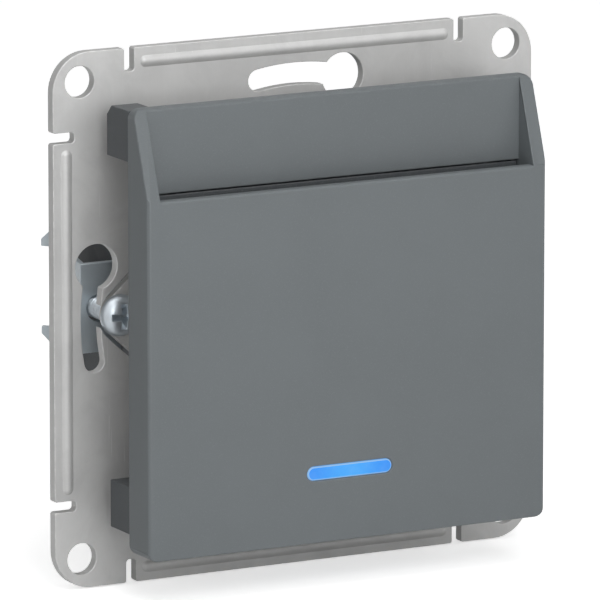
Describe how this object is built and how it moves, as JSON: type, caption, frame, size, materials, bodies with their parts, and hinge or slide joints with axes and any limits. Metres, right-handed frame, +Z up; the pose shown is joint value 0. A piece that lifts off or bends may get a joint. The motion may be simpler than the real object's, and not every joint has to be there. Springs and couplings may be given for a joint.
{
  "type": "key card switch",
  "caption": "Flush wall key card switch: a card pushed into the front slot presses a sprung slider that tips a changeover contact; lit bar, claws, steel plate.",
  "frame": {"origin": "centre of the support plate's back face, on the wall", "axes": "+Z up, +X to the right as seen from the front, +Y into the wall, front towards -Y"},
  "size_m": [0.071, 0.0403, 0.071],
  "materials": {
    "zinc_plate": "galvanised, satin, slightly blotched",
    "slate_plastic": "fine satin, slate grey",
    "dark_plastic": "satin, dark grey",
    "case_plastic": "matt, mid grey",
    "slider_plastic": "smooth, off white",
    "lever_plastic": "smooth, orange",
    "blue_lens": "clear blue, lit, emissive",
    "zinc_screw": "bright zinc",
    "zinc_claw": "bluish zinc",
    "spring_steel": "bright spring steel",
    "brass": "plain rolled brass",
    "silver": "silver",
    "board_green": "green laminate",
    "resistor_body": "tan lacquer",
    "capacitor_body": "red moulded",
    "lead_insulation": "blue insulation"
  },
  "bodies": {
    "housing": {"card_guide": "dark_plastic", "case_screws": "zinc_screw", "common_clamp_spring": "spring_steel", "common_terminal_strip": "brass", "fixed_contacts": "silver", "front_cover": "slate_plastic", "indicator_lens": "blue_lens", "lamp_board": "board_green", "lamp_capacitor": "capacitor_body", "lamp_leads": "lead_insulation", "lamp_resistor": "resistor_body", "led_lamp": "blue_lens", "mechanism_base": "dark_plastic", "mechanism_front": "case_plastic", "neutral_clamp_spring": "spring_steel", "neutral_terminal_strip": "brass", "off_clamp_spring": "spring_steel", "off_terminal_strip": "brass", "on_clamp_spring": "spring_steel", "on_terminal_strip": "brass", "rocker_pin": "zinc_screw", "slider_spring": "spring_steel", "support_plate": "zinc_plate"},
    "card_slider": {"card_slider": "slider_plastic"},
    "contact_rocker": {"contact_rocker": "slider_plastic", "contact_blade": "brass", "moving_contact": "silver"},
    "left_claw": {"left_claw": "zinc_claw"},
    "right_claw": {"right_claw": "zinc_claw"},
    "left_claw_screw": {"left_claw_screw": "zinc_screw"},
    "right_claw_screw": {"right_claw_screw": "zinc_screw"},
    "common_release_lever": {"common_release_lever": "lever_plastic"},
    "on_release_lever": {"on_release_lever": "lever_plastic"},
    "off_release_lever": {"off_release_lever": "lever_plastic"},
    "neutral_release_lever": {"neutral_release_lever": "lever_plastic"}
  },
  "joints": [
    {"name": "card_press", "type": "slide", "parent": "housing", "child": "card_slider", "axis": [0, 0, -1], "range_m": [0, 0.005], "stiffness_N_per_m": 150, "springref_m": -0.01, "deforming": ["slider_spring"]},
    {"name": "rocker_tilt", "type": "hinge", "parent": "housing", "child": "contact_rocker", "pos_m": [0, 0.009, 0], "axis": [1, 0, 0], "range_deg": [0, 28.96]},
    {"name": "common_release", "type": "slide", "parent": "housing", "child": "common_release_lever", "axis": [0, -1, 0], "range_m": [0, 0.0015], "stiffness_N_per_m": 600, "springref_m": -0.002, "deforming": ["common_clamp_spring"]},
    {"name": "on_release", "type": "slide", "parent": "housing", "child": "on_release_lever", "axis": [0, -1, 0], "range_m": [0, 0.0015], "stiffness_N_per_m": 600, "springref_m": -0.002, "deforming": ["on_clamp_spring"]},
    {"name": "off_release", "type": "slide", "parent": "housing", "child": "off_release_lever", "axis": [0, -1, 0], "range_m": [0, 0.0015], "stiffness_N_per_m": 600, "springref_m": -0.002, "deforming": ["off_clamp_spring"]},
    {"name": "neutral_release", "type": "slide", "parent": "housing", "child": "neutral_release_lever", "axis": [0, -1, 0], "range_m": [0, 0.0015], "stiffness_N_per_m": 600, "springref_m": -0.002, "deforming": ["neutral_clamp_spring"]},
    {"name": "left_screw_turn", "type": "hinge", "parent": "housing", "child": "left_claw_screw", "pos_m": [-0.0259, 0, 0.0003], "axis": [0, 1, 0], "range_deg": [0, 540]},
    {"name": "left_claw_swing", "type": "hinge", "parent": "housing", "child": "left_claw", "pos_m": [-0.0222, 0.0045, 0.0003], "axis": [0, 0, 1], "range_deg": [0, 14]},
    {"name": "right_screw_turn", "type": "hinge", "parent": "housing", "child": "right_claw_screw", "pos_m": [0.0259, 0, -0.0003], "axis": [0, 1, 0], "range_deg": [0, 540]},
    {"name": "right_claw_swing", "type": "hinge", "parent": "housing", "child": "right_claw", "pos_m": [0.0222, 0.0045, -0.0003], "axis": [0, 0, -1], "range_deg": [0, 14]}
  ],
  "couplings": [
    {"joint": "rocker_tilt", "follows": "card_press", "rad_per_m": 101.07},
    {"joint": "left_claw_swing", "follows": "left_screw_turn", "ratio": 0.025926},
    {"joint": "right_claw_swing", "follows": "right_screw_turn", "ratio": 0.025926}
  ]
}
